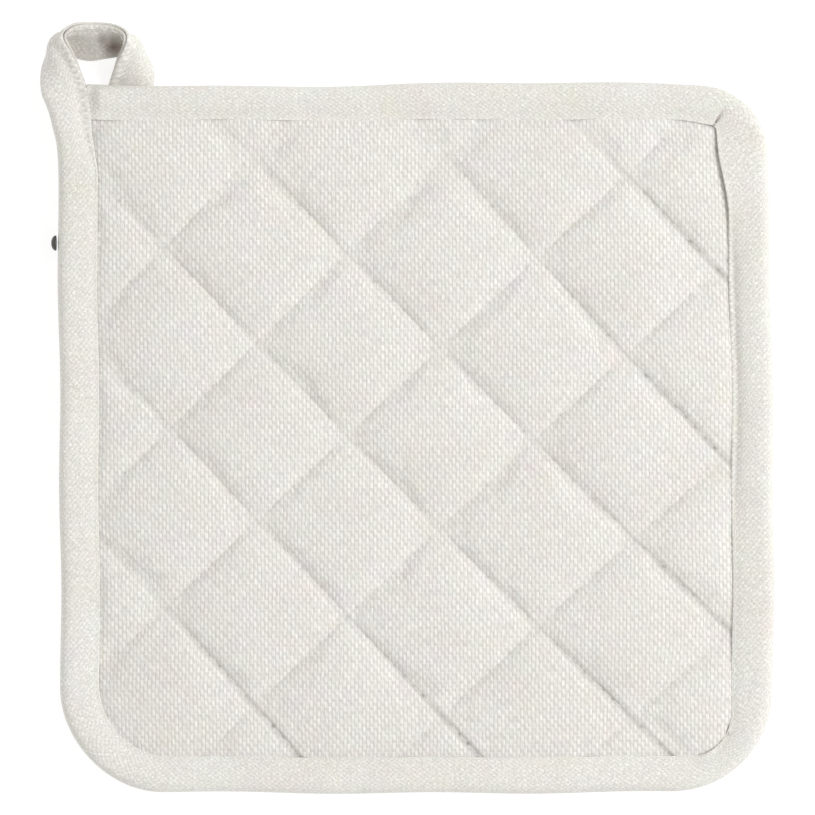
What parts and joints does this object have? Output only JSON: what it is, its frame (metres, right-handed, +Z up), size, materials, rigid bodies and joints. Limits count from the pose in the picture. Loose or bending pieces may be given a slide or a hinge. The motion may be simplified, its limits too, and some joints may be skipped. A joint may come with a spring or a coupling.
{
  "type": "pot holder",
  "caption": "Square quilted cotton pot holder with rounded corners, bias-bound edges and a hanging loop made from the end of the binding.",
  "frame": {"origin": "middle of the pad, on the flat underside that the pot holder lies on", "axes": "+Z up through the thickness, out of the front; +Y towards the edge with the hanging loop; +X to the right as seen from the front, so that the loop is at the corner on the -X side"},
  "size_m": [0.2077, 0.2184, 0.012],
  "materials": {
    "quilted_cloth": "undyed plain-weave cotton, slubby, quilted over wadding",
    "bias_tape": "undyed plain-weave cotton cut on the bias and folded",
    "dark_metal": "small dark domed head with a dull sheen"
  },
  "bodies": {
    "root": {"quilted_pad": "quilted_cloth", "binding": "bias_tape", "hanging_loop": "bias_tape", "edge_stud": "dark_metal"}
  },
  "joints": []
}
